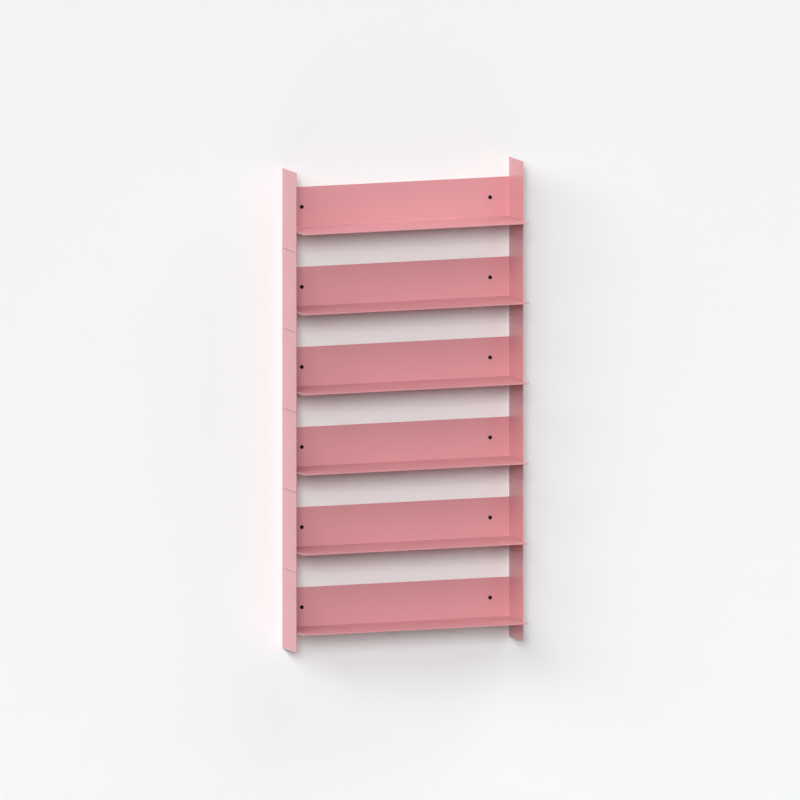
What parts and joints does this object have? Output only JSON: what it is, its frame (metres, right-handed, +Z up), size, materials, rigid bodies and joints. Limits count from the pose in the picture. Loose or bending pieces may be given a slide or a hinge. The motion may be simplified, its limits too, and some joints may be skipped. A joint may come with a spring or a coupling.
{
  "type": "wall bookcase",
  "caption": "Wall bookcase of equal folded steel modules hung one above the other, each with a back plate, a shelf and two side wings, held to the wall by screws.",
  "frame": {"origin": "middle of the screw pattern, on the wall plane behind the back plates", "axes": "+X to the right seen from the room, +Y into the wall, +Z up"},
  "size_m": [0.6, 0.1985, 1.1992],
  "materials": {
    "powder_coat": "satin light-pink powder coat on steel sheet",
    "black_screw": "black-coated steel"
  },
  "bodies": {
    "root": {"shelf_module_1": "powder_coat", "shelf_module_2": "powder_coat", "shelf_module_3": "powder_coat", "shelf_module_4": "powder_coat", "shelf_module_5": "powder_coat", "shelf_module_6": "powder_coat", "wall_screw_1_left": "black_screw", "wall_screw_1_right": "black_screw", "wall_screw_2_left": "black_screw", "wall_screw_2_right": "black_screw", "wall_screw_3_left": "black_screw", "wall_screw_3_right": "black_screw", "wall_screw_4_left": "black_screw", "wall_screw_4_right": "black_screw", "wall_screw_5_left": "black_screw", "wall_screw_5_right": "black_screw", "wall_screw_6_left": "black_screw", "wall_screw_6_right": "black_screw"}
  },
  "joints": []
}
